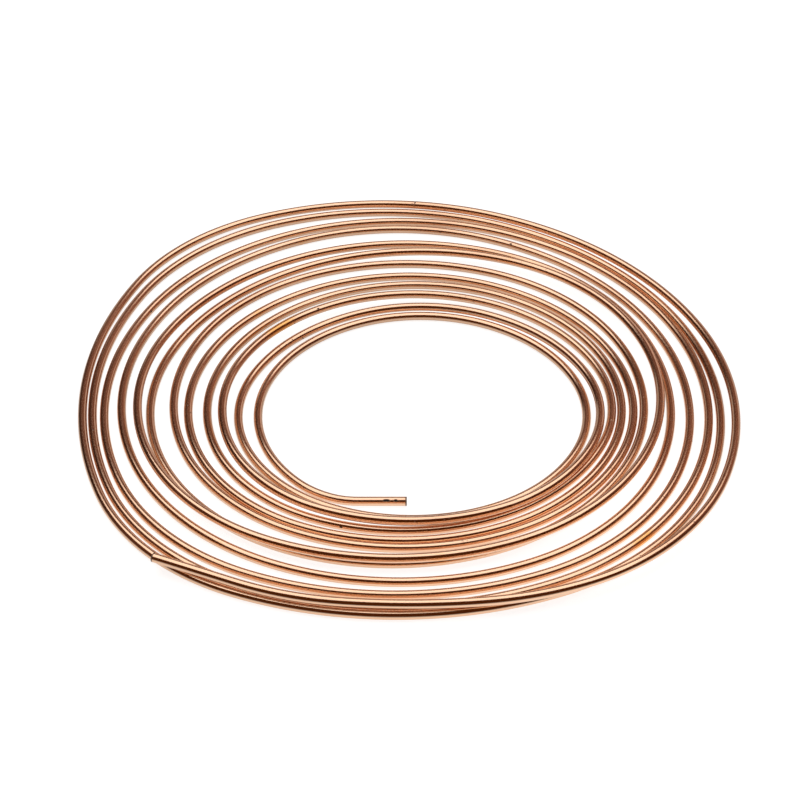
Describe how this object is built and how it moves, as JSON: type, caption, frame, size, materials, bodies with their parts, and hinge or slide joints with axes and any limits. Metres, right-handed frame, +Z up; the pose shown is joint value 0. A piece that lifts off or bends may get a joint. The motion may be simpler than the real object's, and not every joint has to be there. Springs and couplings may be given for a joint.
{
  "type": "copper tube coil",
  "caption": "Loose flat coil of thin soft copper tube, the spiral in which brake or fuel line is sold, with one cut end on top and the other in its open eye.",
  "frame": {"origin": "middle of the coil's box, on the surface that it lies on", "axes": "+Z up, +X to the right and -Y to the front, where the outer cut end lies on top of the turns"},
  "size_m": [0.354, 0.358, 0.0101],
  "materials": {
    "copper": "bright drawn copper with faint draw lines, light tarnish and a few dark nicks"
  },
  "bodies": {
    "root": {"copper_tube": "copper"}
  },
  "joints": []
}
